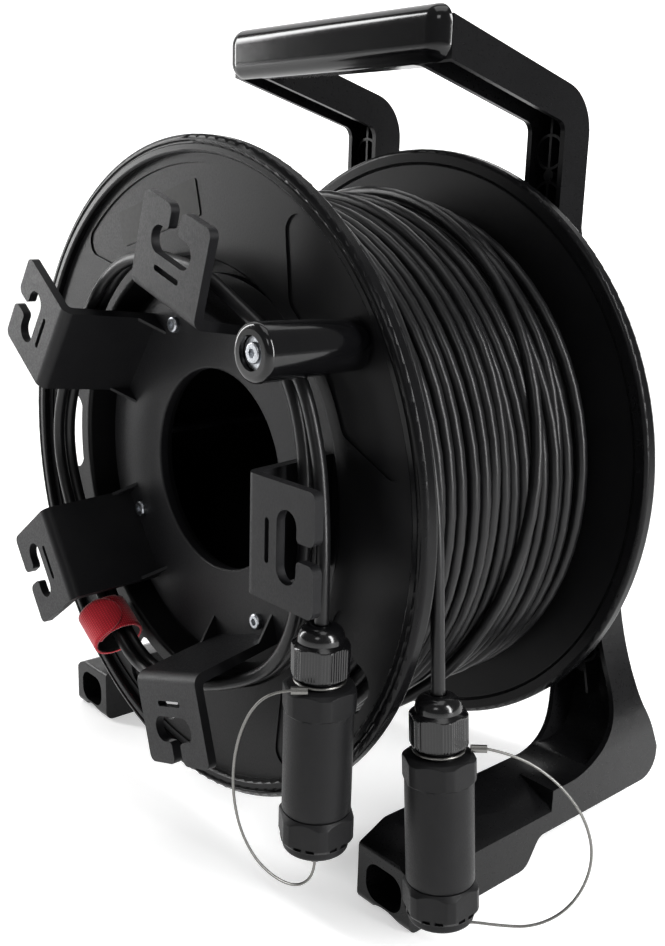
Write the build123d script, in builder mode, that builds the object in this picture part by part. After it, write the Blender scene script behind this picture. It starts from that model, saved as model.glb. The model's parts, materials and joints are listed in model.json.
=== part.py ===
from build123d import *
import os
from math import cos, pi, radians, sin, tan

# Portable cable reel: a drum with storage brackets on a carrying stand, with its cable and two plugs.

os.makedirs("parts", exist_ok=True)

# ---------------------------------------------------------------- driving sizes, in millimetres
flange_radius = 155
floor_clearance = 21  # under the flange's edge
grip_clearance = 57  # from the flange's edge to the top of the grip
drum_width = 152  # front rim's face to the rear rim's back
front_rim_depth = 8
rear_rim_depth = 8
core_radius = 107
core_wall = 2.3
well_wall = 3
web_thickness = 3
web_setback = 3.5  # front web behind the rim's face
floor_depth = 19.5  # front face of the floor that carries the bracket plate
floor_bore = 50
running_gap = 0.3
seat_gap = 0.2
screw_clearance = 0.15

petal_count = 5
petal_inset = 12  # outer end of a petal inside the flange's edge
petal_start = 2.5  # inner end of a petal outside the core
petal_inner_half = 16  # degrees
petal_outer_half = 28
petal_recess = 0.8
petal_corner = 7
window_angles = (180, 252, 324)
window_inset = 14
window_start = 3
window_half = 10
window_corner = 9

hook_count = 5
hook_plate_bore = 49
hook_plate_edge = 7.5  # plate's edge inside the well
hook_plate_thickness = 4.5
hook_thickness = 4.2
hook_width = 50
hook_root_inset = 10  # arm's outer face at the plate, inside the plate's edge
hook_lean = 8  # outwards from the plate to the bend
hook_reach = 33  # bend's face in front of the rim
hook_length = 38  # from the bend to the tip
hook_corner = 3.5
hook_bend_inside = 2.5
hook_bend_outside = 5.5
keyhole_place = 21.5  # outside the bend
keyhole_length = 30
keyhole_width = 12
throat_width = 7.3
slot_place = 9.5  # outside the bend
slot_length = 18.6
slot_width = 2.6
fin_length = 9
fin_height = 11
fin_thickness = 1.6
hook_screw_count = 4
hook_screw_inset = 9  # inside the arm's root
hook_screw_angle = 27.5
screw_head_radius = 4
screw_head_height = 2.6
screw_shank_radius = 2
screw_reach = 11
screw_socket_radius = 1.9
screw_socket_depth = 1.4

label_size = (68, 17)
label_thickness = 0.5
label_start = 16.6  # its middle outside the core
label_angle = 105

crank_angle = 34.7
crank_inset = 23.7  # its middle inside the flange's edge
crank_reach = 47  # crank's end in front of the rim
crank_tip_radius = 11.4
crank_base_radius = 10.4
crank_cup_radius = 6.6
crank_cup_depth = 3.4
spindle_radius = 5
spindle_bore_gap = 0.06
spindle_foot_radius = 8
spindle_foot = 1.8
crank_screw_radius = 4
crank_screw_height = 1.6
crank_screw_reach = 13
crank_washer = 1

hub_radius = 21
hub_length = 48
hub_overhang = 8  # behind the drum
bush_radius = 14
bush_collar_radius = 18
bush_collar = 2
axle_radius = 10
axle_running_gap = 0.06
axle_stub = 8  # in front of the hub
axle_collar_radius = 18
axle_thread_radius = 8
washer_thickness = 2
clip_thickness = 1.6
clip_groove = 1
clip_rim = 3
rear_disc_inset = 11  # its front inside the drum's back
rear_disc_thickness = 3
tie_count = 5
tie_inset = 9.5  # inside the well
tie_bolt_radius = 2.5
tie_head_radius = 4.5
tie_head_height = 3.5
tie_boss_radius = 6
tie_boss_length = 14

cable_diameter = 5.8
winding_height = 24  # wound cable above the core
winding_low_height = 6  # beside the front flange
winding_front = 9
winding_slope_end = 26
winding_inset = 9  # its back inside the drum's back

beam_width = 23  # arm and upright, across
beam_inner_x = 55
beam_wall = 2.8
stand_front = 15
upright_gap = 12.3  # behind the drum
upright_depth = 19.3
heel_length = 14.4  # foot's back behind the upright
arm_fall = 0.26  # fall per length towards the back
arm_depth = 18.5
arm_bend = 24
foot_height = 35
foot_inner_x = 110
foot_outer_x = 143
foot_sweep = 42  # radius of the leg's front where it runs into the foot
pad_length = 78
pad_lift = 14
grip_depth = 23
grip_height = 24.5
grip_front = 75
grip_end_cover = 7  # grip's end in front of the arm
grip_corner = 10
grip_round = 8
plate_thickness = 4
plate_half_height = 36
plate_bolt_x = 90
plate_bolt_rise = 22
plate_bolt_radius = 3
plate_bolt_head = 5.5
plate_bolt_head_height = 4
plate_bolt_reach = 4  # beyond the wall it holds
nut_flats = 24
nut_height = 8

# ---------------------------------------------------------------- places that follow from them
axis_height = flange_radius + floor_clearance
overall_height = axis_height + flange_radius + grip_clearance
well_radius = core_radius - core_wall - seat_gap - well_wall  # the well's wall slides into the core
petal_inner = core_radius + petal_start
petal_outer = flange_radius - petal_inset
window_inner = core_radius + window_start
window_outer = flange_radius - window_inset
hook_plate_radius = well_radius - hook_plate_edge
hook_root = hook_plate_radius - hook_root_inset
hook_bend = hook_root + hook_lean
hook_tip = hook_bend + hook_length
keyhole_radius = hook_bend + keyhole_place
slot_radius = hook_bend + slot_place
hook_screw_radius = hook_root - hook_screw_inset
label_radius = core_radius + label_start
crank_radius = flange_radius - crank_inset
tie_radius = well_radius - tie_inset
hub_back = drum_width + hub_overhang
hub_front = hub_back - hub_length
axle_front = hub_front - axle_stub
rear_disc_front = drum_width - rear_disc_inset
winding_radius = core_radius + winding_height
winding_low_radius = core_radius + winding_low_height
winding_back = drum_width - winding_inset
upright_front = drum_width + upright_gap
upright_back = upright_front + upright_depth
stand_back = upright_back + heel_length

stand_depth = stand_back + crank_reach
face_y = crank_reach - stand_depth / 2  # front rim's face, with the object centred in depth


def at(x, depth, rise):
    """A point from its place across, behind the front rim's face, and above the drum axis."""
    return (x, face_y + depth, axis_height + rise)


def polar(angle, radius, depth):
    """A point from its angle and radius about the drum axis, and its depth."""
    return at(radius * cos(radians(angle)), depth, radius * sin(radians(angle)))


def disc_plane(depth):
    """A plane across the drum axis, seen from the front; extruding goes towards the front."""
    return Plane(at(0, depth, 0), x_dir=(1, 0, 0), z_dir=(0, -1, 0))


def radial_plane(angle):
    """A plane through the drum axis: x is the radius, y the depth."""
    turn = radians(angle)
    return Plane(at(0, 0, 0), x_dir=(cos(turn), 0, sin(turn)), z_dir=(-sin(turn), 0, cos(turn)))


side_plane = Plane(at(0, 0, 0), x_dir=(0, 1, 0), z_dir=(1, 0, 0))
plan_plane = Plane(at(0, 0, 0), x_dir=(1, 0, 0), z_dir=(0, 0, 1))
drum_axis = Axis(at(0, 0, 0), (0, -1, 0))


def finish(builder, name):
    """Name a finished piece and write it."""
    builder.part.label = name
    export_step(builder.part, f"parts/{name}.step")
    print(f"{name}: {len(builder.part.solids())} solids, {builder.part.volume:.0f} mm3")


def spoke(radius, angle):
    """A point on a disc plane from its radius and angle."""
    return (radius * cos(radians(angle)), radius * sin(radians(angle)))


def arc_sector(inner, outer, inner_half, outer_half, middle):
    """Edges of a rounded sector between two radii, wider or narrower outwards."""
    ThreePointArc(spoke(inner, middle - inner_half), spoke(inner, middle), spoke(inner, middle + inner_half))
    Line(spoke(inner, middle + inner_half), spoke(outer, middle + outer_half))
    ThreePointArc(spoke(outer, middle + outer_half), spoke(outer, middle), spoke(outer, middle - outer_half))
    Line(spoke(outer, middle - outer_half), spoke(inner, middle - inner_half))


# ---------------------------------------------------------------- drum
web_back = web_setback + web_thickness
floor_back = floor_depth + web_thickness
lip_width = 8
rim_start = flange_radius - lip_width
groove_middle = flange_radius - 3.6
groove_radius = 0.9
cable_outlet_radius = 97.6
cable_outlet_angle = 52
cable_outlet_bore = cable_diameter / 2 + 0.35
petal_pitch = 360 / petal_count
tie_angles = [360 / tie_count * (k + 0.5) for k in range(tie_count)]
hook_screw_angles = [hook_screw_angle + 360 / hook_screw_count * k for k in range(hook_screw_count)]

with BuildPart() as front_flange:
    with BuildSketch(radial_plane(0)):
        with BuildLine():
            Polyline(
                (floor_bore, floor_depth),
                (well_radius, floor_depth),
                (well_radius, web_setback),
                (rim_start, web_setback),
                (rim_start, 0),
                (flange_radius, 0),
                (flange_radius, front_rim_depth),
                (rim_start + 1, front_rim_depth),
                (rim_start - 2, web_back),
                (well_radius + well_wall, web_back),
                (well_radius + well_wall, floor_back),
                (floor_bore, floor_back),
                close=True,
            )
        make_face()
    revolve(axis=drum_axis)
    rim_edges = front_flange.edges().filter_by(GeomType.CIRCLE).filter_by(lambda e: e.radius > rim_start + 2)
    fillet(rim_edges, 2.2)
    inner_lip = front_flange.edges().filter_by(GeomType.CIRCLE).filter_by(
        lambda e: abs(e.radius - rim_start) < 0.1 and e.center().Y < face_y + 1
    )
    fillet(inner_lip, 1.4)
    well_edge = front_flange.edges().filter_by(GeomType.CIRCLE).filter_by(
        lambda e: abs(e.radius - well_radius) < 0.1 and e.center().Y < face_y + web_setback + 1
    )
    fillet(well_edge, 2)
    with BuildSketch(radial_plane(0)):
        with Locations((groove_middle, 0)):
            Circle(groove_radius)
    revolve(axis=drum_axis, mode=Mode.SUBTRACT)
    for k in range(petal_count):
        with BuildSketch(disc_plane(web_setback + petal_recess)) as petal:
            with BuildLine():
                arc_sector(petal_inner, petal_outer, petal_inner_half, petal_outer_half,
                           petal_pitch * (k + 0.5))
            make_face()
            fillet(petal.vertices(), petal_corner)
        extrude(amount=petal_recess, mode=Mode.SUBTRACT)
    for middle in window_angles:
        with BuildSketch(disc_plane(web_back)) as window:
            with BuildLine():
                arc_sector(window_inner, window_outer, window_half, window_half, middle)
            make_face()
            fillet(window.vertices(), window_corner)
        extrude(amount=web_thickness, mode=Mode.SUBTRACT)
    for angle in tie_angles:
        with BuildSketch(disc_plane(floor_back + tie_boss_length)):
            with Locations(spoke(tie_radius, angle)):
                Circle(tie_boss_radius)
                Circle(tie_bolt_radius, mode=Mode.SUBTRACT)
        extrude(amount=tie_boss_length)
    with BuildSketch(disc_plane(floor_back)):
        for angle in hook_screw_angles:
            with Locations(spoke(hook_screw_radius, angle)):
                Circle(screw_shank_radius)
        with Locations(spoke(cable_outlet_radius, cable_outlet_angle)):
            Circle(cable_outlet_bore)
        with Locations(spoke(crank_radius, crank_angle)):
            Circle(spindle_radius)
    extrude(amount=floor_back, mode=Mode.SUBTRACT)
finish(front_flange, "front_flange")

rear_rim_front = drum_width - rear_rim_depth
rear_web_front = rear_rim_front + 1
rear_web_back = rear_web_front + web_thickness
core_bore = core_radius - core_wall
rear_disc_back = rear_disc_front + rear_disc_thickness

with BuildPart() as rear_flange:
    with BuildSketch(radial_plane(0)):
        with BuildLine():
            Polyline(
                (bush_radius, hub_front),
                (hub_radius, hub_front),
                (hub_radius, rear_disc_front),
                (core_bore - seat_gap, rear_disc_front),
                (core_bore - seat_gap, rear_web_front),
                (rim_start, rear_web_front),
                (rim_start + 1.5, rear_rim_front),
                (flange_radius, rear_rim_front),
                (flange_radius, drum_width),
                (rim_start, drum_width),
                (rim_start, rear_web_back),
                (core_bore - 4, rear_web_back),
                (core_bore - 4, rear_disc_back),
                (hub_radius, rear_disc_back),
                (hub_radius, hub_back),
                (bush_radius, hub_back),
                close=True,
            )
        make_face()
    revolve(axis=drum_axis)
    rear_circles = rear_flange.edges().filter_by(GeomType.CIRCLE)
    rear_edges = rear_circles.filter_by(lambda edge: edge.radius > flange_radius - 0.1)
    fillet(rear_edges, 2.2)
    with BuildSketch(disc_plane(rear_disc_front)):
        for angle in [petal_pitch * k for k in range(petal_count)]:
            with Locations(Location(spoke((hub_radius + core_bore) / 2 - 1, angle), angle)):
                Rectangle(core_bore - hub_radius - 4, 3)
    extrude(amount=12)
    with BuildSketch(disc_plane(rear_disc_back)):
        for angle in tie_angles:
            with Locations(spoke(tie_radius, angle)):
                Circle(tie_bolt_radius + screw_clearance)
    extrude(amount=rear_disc_thickness, mode=Mode.SUBTRACT)
finish(rear_flange, "rear_flange")

with BuildPart() as drum_core:
    with BuildSketch(disc_plane(rear_web_front)):
        Circle(core_radius)
        Circle(core_bore, mode=Mode.SUBTRACT)
    extrude(amount=rear_web_front - web_back)
finish(drum_core, "drum_core")

with BuildPart() as tie_bolts:
    for angle in tie_angles:
        with BuildSketch(disc_plane(rear_disc_back)):
            with Locations(spoke(tie_radius, angle)):
                Circle(tie_bolt_radius)
        extrude(amount=rear_disc_back - floor_back - 2)
        with BuildSketch(disc_plane(rear_disc_back + tie_head_height)):
            with Locations(spoke(tie_radius, angle)):
                Circle(tie_head_radius)
        extrude(amount=tie_head_height)
finish(tie_bolts, "tie_bolts")

with BuildPart() as hub_bush:
    with BuildSketch(disc_plane(hub_back)):
        Circle(bush_radius)
        Circle(axle_radius + axle_running_gap, mode=Mode.SUBTRACT)
    extrude(amount=hub_back - hub_front)
    with BuildSketch(disc_plane(hub_back + bush_collar)):
        Circle(bush_collar_radius)
        Circle(axle_radius + axle_running_gap, mode=Mode.SUBTRACT)
    extrude(amount=bush_collar)
finish(hub_bush, "hub_bush")

# ---------------------------------------------------------------- bracket plate on the drum's front
plate_front = floor_depth - hook_plate_thickness
hook_angles = [360 / hook_count * k for k in range(hook_count)]

with BuildPart() as hook:
    with BuildSketch(radial_plane(0)):
        with BuildLine():
            Polyline(
                (hook_root, floor_depth),
                (hook_bend, hook_thickness - hook_reach),
                (hook_tip, hook_thickness - hook_reach),
                (hook_tip, -hook_reach),
                (hook_bend - hook_thickness, -hook_reach),
                (hook_root - hook_thickness, floor_depth),
                close=True,
            )
        make_face()
    extrude(amount=hook_width / 2, both=True)
    bend_inside = hook.edges().filter_by(Axis.Z).filter_by_position(Axis.X, hook_bend - 0.5, hook_bend + 0.5)
    fillet(bend_inside, hook_bend_inside)
    bend_outside = hook.edges().filter_by(Axis.Z).filter_by_position(
        Axis.X, hook_bend - hook_thickness - 0.5, hook_bend - hook_thickness + 0.5)
    fillet(bend_outside, hook_bend_outside)
    with BuildSketch(disc_plane(hook_thickness - hook_reach)) as openings:
        with Locations((keyhole_radius, 0)):
            SlotOverall(keyhole_length, keyhole_width, rotation=90)
        with Locations(((keyhole_radius + hook_tip) / 2 + 1, 0)):
            Rectangle(hook_tip - keyhole_radius + 2, throat_width)
        with Locations((slot_radius, 0)):
            SlotOverall(slot_length, slot_width, rotation=90)
    extrude(amount=hook_thickness, mode=Mode.SUBTRACT)
    tips = hook.edges().filter_by(Axis.Y).filter_by_position(Axis.X, hook_tip - 0.2, hook_tip + 0.2)
    fillet(tips, hook_corner)
    throat_inner = hook.edges().filter_by(Axis.Y).filter_by_position(
        Axis.X, keyhole_radius + keyhole_width / 2 - 1, keyhole_radius + keyhole_width / 2 + 1)
    fillet(throat_inner, 2)
    for side in (-1, 1):
        fin_plane = radial_plane(0).offset(side * (hook_width / 2 - fin_thickness / 2))
        with BuildSketch(fin_plane):
            with BuildLine():
                Polyline(
                    (hook_root - 1, floor_depth - hook_plate_thickness / 2),
                    (hook_root - hook_thickness - fin_length, floor_depth - hook_plate_thickness / 2),
                    (hook_root - hook_thickness - fin_length, plate_front),
                    (hook_root - 1, plate_front - fin_height),
                    close=True,
                )
            make_face()
        extrude(amount=fin_thickness / 2, both=True)

with BuildPart() as hook_plate:
    with BuildSketch(disc_plane(floor_depth)):
        Circle(hook_plate_radius)
        Circle(hook_plate_bore, mode=Mode.SUBTRACT)
        for angle in hook_screw_angles:
            with Locations(spoke(hook_screw_radius, angle)):
                Circle(screw_shank_radius + screw_clearance, mode=Mode.SUBTRACT)
    extrude(amount=hook_plate_thickness)
    bore_edge = hook_plate.edges().filter_by(GeomType.CIRCLE).filter_by(
        lambda e: abs(e.radius - hook_plate_bore) < 0.1 and e.center().Y < face_y + plate_front + 0.1
    )
    fillet(bore_edge, 1.2)
    for angle in hook_angles:
        add(hook.part.rotate(drum_axis, angle))
finish(hook_plate, "hook_plate")

with BuildPart() as hook_screws:
    for angle in hook_screw_angles:
        with BuildSketch(disc_plane(plate_front + screw_reach)):
            with Locations(spoke(hook_screw_radius, angle)):
                Circle(screw_shank_radius)
        extrude(amount=screw_reach)
        with BuildSketch(disc_plane(plate_front)):
            with Locations(spoke(hook_screw_radius, angle)):
                Circle(screw_head_radius)
        extrude(amount=screw_head_height)
    head_tops = hook_screws.faces().filter_by(Axis.Y).group_by(Axis.Y)[0]
    fillet(head_tops.edges(), 1.2)
    with BuildSketch(disc_plane(plate_front - screw_head_height + screw_socket_depth)):
        for angle in hook_screw_angles:
            with Locations(spoke(hook_screw_radius, angle)):
                RegularPolygon(screw_socket_radius, 6)
    extrude(amount=screw_socket_depth, mode=Mode.SUBTRACT)
finish(hook_screws, "hook_screws")

with BuildPart() as label_plate:
    with BuildSketch(disc_plane(web_setback + petal_recess)) as label_outline:
        with Locations(Location(spoke(label_radius, label_angle), label_angle - 90)):
            RectangleRounded(label_size[0], label_size[1], 1.5)
    extrude(amount=label_thickness)
finish(label_plate, "label_plate")

# ---------------------------------------------------------------- crank
crank_back = web_setback - running_gap
cup_floor = -crank_reach + crank_cup_depth
spindle_end = cup_floor - seat_gap
crank_centre = spoke(crank_radius, crank_angle)

with BuildPart() as crank_spindle:
    with BuildSketch(disc_plane(web_back + spindle_foot)):
        with Locations(crank_centre):
            Circle(spindle_foot_radius)
    extrude(amount=spindle_foot)
    with BuildSketch(disc_plane(web_back)):
        with Locations(crank_centre):
            Circle(spindle_radius)
    extrude(amount=web_back - spindle_end)
    with BuildSketch(disc_plane(spindle_end + crank_screw_reach + 1)):
        with Locations(crank_centre):
            Circle(screw_shank_radius)
    extrude(amount=crank_screw_reach + 1, mode=Mode.SUBTRACT)
finish(crank_spindle, "crank_spindle")

with BuildPart() as crank_handle:
    with BuildSketch(disc_plane(crank_back)):
        with Locations(crank_centre):
            Circle(crank_base_radius)
    with BuildSketch(disc_plane(-crank_reach)):
        with Locations(crank_centre):
            Circle(crank_tip_radius)
    loft()
    rounded = crank_handle.edges().filter_by(GeomType.CIRCLE).sort_by(Axis.Y)[0]
    fillet([rounded], 2.6)
    with BuildSketch(disc_plane(crank_back)):
        with Locations(crank_centre):
            Circle(spindle_radius + spindle_bore_gap)
    extrude(amount=crank_back + crank_reach, mode=Mode.SUBTRACT)
    with BuildSketch(disc_plane(cup_floor)):
        with Locations(crank_centre):
            Circle(crank_cup_radius)
    extrude(amount=crank_cup_depth, mode=Mode.SUBTRACT)
finish(crank_handle, "crank_handle")

with BuildPart() as crank_washer_ring:
    with BuildSketch(disc_plane(spindle_end)):
        with Locations(crank_centre):
            Circle(crank_cup_radius - 0.4)
            Circle(screw_shank_radius + screw_clearance, mode=Mode.SUBTRACT)
    extrude(amount=crank_washer)
finish(crank_washer_ring, "crank_washer")

with BuildPart() as crank_screw:
    with BuildSketch(disc_plane(spindle_end + crank_screw_reach)):
        with Locations(crank_centre):
            Circle(screw_shank_radius)
    extrude(amount=crank_screw_reach + crank_washer)
    with BuildSketch(disc_plane(spindle_end - crank_washer)):
        with Locations(crank_centre):
            Circle(crank_screw_radius)
    extrude(amount=crank_screw_height)
    fillet(crank_screw.faces().sort_by(Axis.Y)[0].edges(), 0.8)
    with BuildSketch(disc_plane(spindle_end - crank_washer)):
        with Locations(crank_centre):
            RegularPolygon(screw_socket_radius, 6)
    extrude(amount=crank_screw_height, mode=Mode.SUBTRACT)
finish(crank_screw, "crank_screw")

# ---------------------------------------------------------------- axle and its plate
plate_back = upright_back + plate_thickness
collar_front = hub_back + bush_collar + running_gap

with BuildPart() as axle:
    with BuildSketch(disc_plane(plate_back + nut_height + 2)):
        Circle(axle_thread_radius)
    extrude(amount=nut_height + 2 + plate_thickness)
    with BuildSketch(disc_plane(upright_back)):
        Circle(axle_collar_radius)
    extrude(amount=upright_back - collar_front)
    with BuildSketch(disc_plane(collar_front)):
        Circle(axle_radius)
    extrude(amount=collar_front - axle_front)
    clip_back = hub_front - seat_gap - washer_thickness
    with BuildSketch(disc_plane(clip_back)):
        Circle(axle_radius)
        Circle(axle_radius - clip_groove, mode=Mode.SUBTRACT)
    extrude(amount=clip_thickness, mode=Mode.SUBTRACT)
    chamfer(axle.faces().sort_by(Axis.Y)[0].edges(), 1)
finish(axle, "axle")

with BuildPart() as axle_washer:
    with BuildSketch(disc_plane(hub_front - seat_gap)):
        Circle(bush_collar_radius)
        Circle(axle_radius + screw_clearance, mode=Mode.SUBTRACT)
    extrude(amount=washer_thickness)
finish(axle_washer, "axle_washer")

with BuildPart() as axle_clip:
    with BuildSketch(disc_plane(clip_back)):
        Circle(axle_radius + clip_rim)
        Circle(axle_radius - clip_groove, mode=Mode.SUBTRACT)
        with Locations((axle_radius + 1, 0)):
            Rectangle(8, 7, mode=Mode.SUBTRACT)
    extrude(amount=clip_thickness)
finish(axle_clip, "axle_clip")

plate_bolt_places = [
    (x, rise) for x in (-plate_bolt_x, plate_bolt_x) for rise in (-plate_bolt_rise, plate_bolt_rise)
]

with BuildPart() as axle_plate:
    with BuildSketch(disc_plane(plate_back)) as plate_outline:
        Rectangle(2 * plate_bolt_x + 22, 2 * plate_half_height)
        fillet(plate_outline.vertices(), 8)
        Circle(axle_thread_radius, mode=Mode.SUBTRACT)
        for place in plate_bolt_places:
            with Locations(place):
                Circle(plate_bolt_radius + screw_clearance, mode=Mode.SUBTRACT)
    extrude(amount=plate_thickness)
finish(axle_plate, "axle_plate")

with BuildPart() as axle_nut:
    with BuildSketch(disc_plane(plate_back + nut_height)):
        RegularPolygon(nut_flats / 2, 6, major_radius=False)
        Circle(axle_thread_radius, mode=Mode.SUBTRACT)
    extrude(amount=nut_height)
finish(axle_nut, "axle_nut")

with BuildPart() as plate_bolts:
    for place in plate_bolt_places:
        with BuildSketch(disc_plane(plate_back + plate_bolt_head_height)):
            with Locations(place):
                RegularPolygon(plate_bolt_head, 6)
        extrude(amount=plate_bolt_head_height)
        with BuildSketch(disc_plane(plate_back)):
            with Locations(place):
                Circle(plate_bolt_radius)
        extrude(amount=plate_thickness + beam_wall + plate_bolt_reach)
finish(plate_bolts, "plate_bolts")

# ---------------------------------------------------------------- stand
floor_rise = -axis_height
top_rise = overall_height - axis_height
grip_back = grip_front + grip_depth
arm_front = grip_front + grip_end_cover
arm_top = top_rise - 4.8
beam_outer_x = beam_inner_x + beam_width
corner_rise = arm_top - arm_fall * (upright_back - arm_front)
under_rise = corner_rise - arm_depth + arm_fall * (upright_back - upright_front)
arm_under = under_rise + arm_fall * (upright_front - arm_front)
foot_top = floor_rise + foot_height
splay_rise = 118
knee_rise = foot_top + 66
leg_splay = 0.215  # outwards per fall
pad_end = stand_front + pad_length


side_corners = [
    ((arm_front, arm_top), 0),
    ((upright_back, corner_rise), arm_bend),
    ((upright_back, knee_rise - 42), 25),
    ((stand_back, foot_top - 5), 5),
    ((stand_back, floor_rise + pad_lift), 12),
    ((pad_end + 9, floor_rise + pad_lift), 6),
    ((pad_end, floor_rise), 8),
    ((stand_front, floor_rise), 5),
    ((stand_front, foot_top - 6), 2),
    ((stand_front + 16, foot_top), 8),
    ((upright_front, foot_top), foot_sweep),
    ((upright_front, under_rise), 6),
    ((arm_front, arm_under), 0),
]  # the side seen from the side, each corner with the radius that rounds it


def front_outline(inset):
    """Outline of one side seen from the front: upright, splayed leg and foot."""
    knee_inner = (beam_inner_x + 36 + inset, knee_rise)
    knee_outer = (beam_outer_x + 44 - inset, knee_rise + 5)
    ankle_inner = (foot_inner_x + inset, foot_top - 9)
    ankle_outer = (foot_outer_x - inset, foot_top + 6)
    Polyline(knee_outer, (beam_outer_x - inset, splay_rise), (beam_outer_x - inset, top_rise),
             (beam_inner_x + inset, top_rise), (beam_inner_x + inset, splay_rise), knee_inner)
    Spline(knee_inner, (foot_inner_x - 9 + inset, foot_top + 20), ankle_inner,
           tangents=[(leg_splay, -1), (0, -1)])
    Polyline(ankle_inner, (foot_inner_x + inset, floor_rise),
             (foot_outer_x - inset, floor_rise), ankle_outer)
    Spline(ankle_outer, (foot_outer_x - 9 - inset, foot_top + 35), knee_outer,
           tangents=[(0, 1), (-leg_splay, 1)])


channel_back = upright_back - beam_wall
channel_floor = foot_top + 3
channel_sweep = 36
rib_front = upright_front + 4
rib_thickness = 1.4
ring_radius = beam_width / 2 - beam_wall
ring_pitch = 2 * ring_radius + 5
ring_count = 12
boss_radius = 3
leg_foot_rise = foot_top + 24


def leg_middle(rise):
    """Middle of the leg, across, at a height."""
    return beam_inner_x + beam_width / 2 + max(0, splay_rise - rise) * leg_splay


with BuildPart() as channel:
    with BuildSketch(side_plane):
        with BuildLine():
            Polyline(
                (arm_front + beam_wall, arm_top - beam_wall),
                (channel_back, corner_rise - beam_wall),
                (channel_back, channel_floor),
                (stand_front + pad_length, channel_floor),
                (stand_front + pad_length, knee_rise + 40),
                (upright_front - 10, knee_rise + 45),
                (upright_front - 10, under_rise - 12),
                (arm_front + beam_wall, arm_under - 12),
                close=True,
            )
        make_face()
    extrude(amount=200)
    bend_lines = channel.edges().filter_by(Axis.X).filter_by_position(
        Axis.Y, face_y + channel_back - 1, face_y + channel_back + 1).sort_by(Axis.Z)
    fillet(bend_lines[-1:], arm_bend - beam_wall)
    fillet(bend_lines[:1], channel_sweep)
    with BuildSketch(disc_plane(stand_back)):
        with BuildLine():
            front_outline(beam_wall)
        make_face()
    extrude(amount=200, mode=Mode.INTERSECT)

with BuildPart() as ribs:
    with BuildSketch(disc_plane(channel_back)):
        for k in range(ring_count):
            ring_rise = splay_rise + 2 * ring_pitch - ring_radius - ring_pitch * k
            with Locations((leg_middle(ring_rise), ring_rise)):
                Circle(ring_radius)
                Circle(ring_radius - rib_thickness, mode=Mode.SUBTRACT)
            with Locations((leg_middle(ring_rise), ring_rise - ring_pitch / 2)):
                Circle(boss_radius)
        with BuildLine():
            Polyline(
                (leg_middle(top_rise) - rib_thickness / 2, corner_rise),
                (leg_middle(top_rise) + rib_thickness / 2, corner_rise),
                (leg_middle(splay_rise) + rib_thickness / 2, splay_rise),
                (leg_middle(leg_foot_rise) + rib_thickness / 2, leg_foot_rise),
                (leg_middle(leg_foot_rise) - rib_thickness / 2, leg_foot_rise),
                (leg_middle(splay_rise) - rib_thickness / 2, splay_rise),
                close=True,
            )
        make_face()
    extrude(amount=channel_back - rib_front)
    add(channel.part, mode=Mode.INTERSECT)

with BuildPart() as side_right:
    with BuildSketch(side_plane) as side_sketch:
        with BuildLine():
            Polyline(*[corner for corner, radius in side_corners], close=True)
        make_face()
        for corner, radius in side_corners:
            if radius:
                fillet(side_sketch.vertices().sort_by_distance(corner)[0], radius)
    extrude(amount=200)
    with BuildSketch(disc_plane(stand_back)):
        with BuildLine():
            front_outline(0)
        make_face()
    extrude(amount=200, mode=Mode.INTERSECT)
    with BuildSketch(disc_plane(stand_front + 95)):
        with BuildLine():
            Polyline(
                (foot_inner_x + 12, foot_top + 1),
                (foot_inner_x + 12, foot_top),
                (foot_outer_x - 3, foot_top - 8),
                (foot_outer_x, foot_top - 11),
                (foot_outer_x + 1, foot_top - 11),
                (foot_outer_x + 1, foot_top + 1),
                close=True,
            )
        make_face()
    extrude(amount=100, mode=Mode.SUBTRACT)
    add(channel.part, mode=Mode.SUBTRACT)
    add(ribs.part)
    with BuildSketch(disc_plane(stand_front + 42)):
        with Locations((foot_inner_x + 16.5, floor_rise + 14.5)):
            RectangleRounded(22, 18, 7)
    extrude(amount=43, mode=Mode.SUBTRACT)
    with BuildSketch(disc_plane(pad_end + 10)):
        with Locations((foot_inner_x + 17.5, floor_rise)):
            Ellipse(9, 4.5)
    extrude(amount=pad_length + 11, mode=Mode.SUBTRACT)
    with BuildSketch(disc_plane(plate_back)):
        for place in plate_bolt_places[2:]:
            with Locations(place):
                Circle(plate_bolt_radius + screw_clearance)
    extrude(amount=plate_thickness + beam_wall + plate_bolt_reach + 1, mode=Mode.SUBTRACT)
finish(side_right, "side_right")

with BuildPart() as side_left:
    mirror(side_right.part, about=Plane.YZ)
finish(side_left, "side_left")

with BuildPart() as handle_grip:
    with BuildSketch(plan_plane.offset(top_rise - grip_height)) as grip_plan:
        with Locations((0, grip_front + grip_depth / 2)):
            Rectangle(2 * beam_outer_x, grip_depth)
        fillet(grip_plan.vertices().group_by(Axis.Y)[0], grip_corner)
    extrude(amount=grip_height)
    top_edges = handle_grip.faces().sort_by(Axis.Z)[-1].edges().sort_by(Axis.Y)[:-1]
    low_edges = handle_grip.faces().sort_by(Axis.Z)[0].edges().sort_by(Axis.Y)[:-1]
    fillet(top_edges + low_edges, grip_round)
    back_edges = handle_grip.edges().filter_by(Axis.X).filter_by_position(
        Axis.Y, face_y + grip_back - 0.1, face_y + grip_back + 0.1)
    fillet(back_edges, 5)
    for side in (-1, 1):
        with BuildSketch(plan_plane.offset(top_rise)):
            with Locations((side * (beam_inner_x + beam_width / 2), arm_front + grip_depth / 2)):
                Rectangle(beam_width, grip_depth)
        extrude(amount=-grip_height, mode=Mode.SUBTRACT)
finish(handle_grip, "handle_grip")

# ---------------------------------------------------------------- cable and strap
winding_bore = core_radius + running_gap

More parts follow.
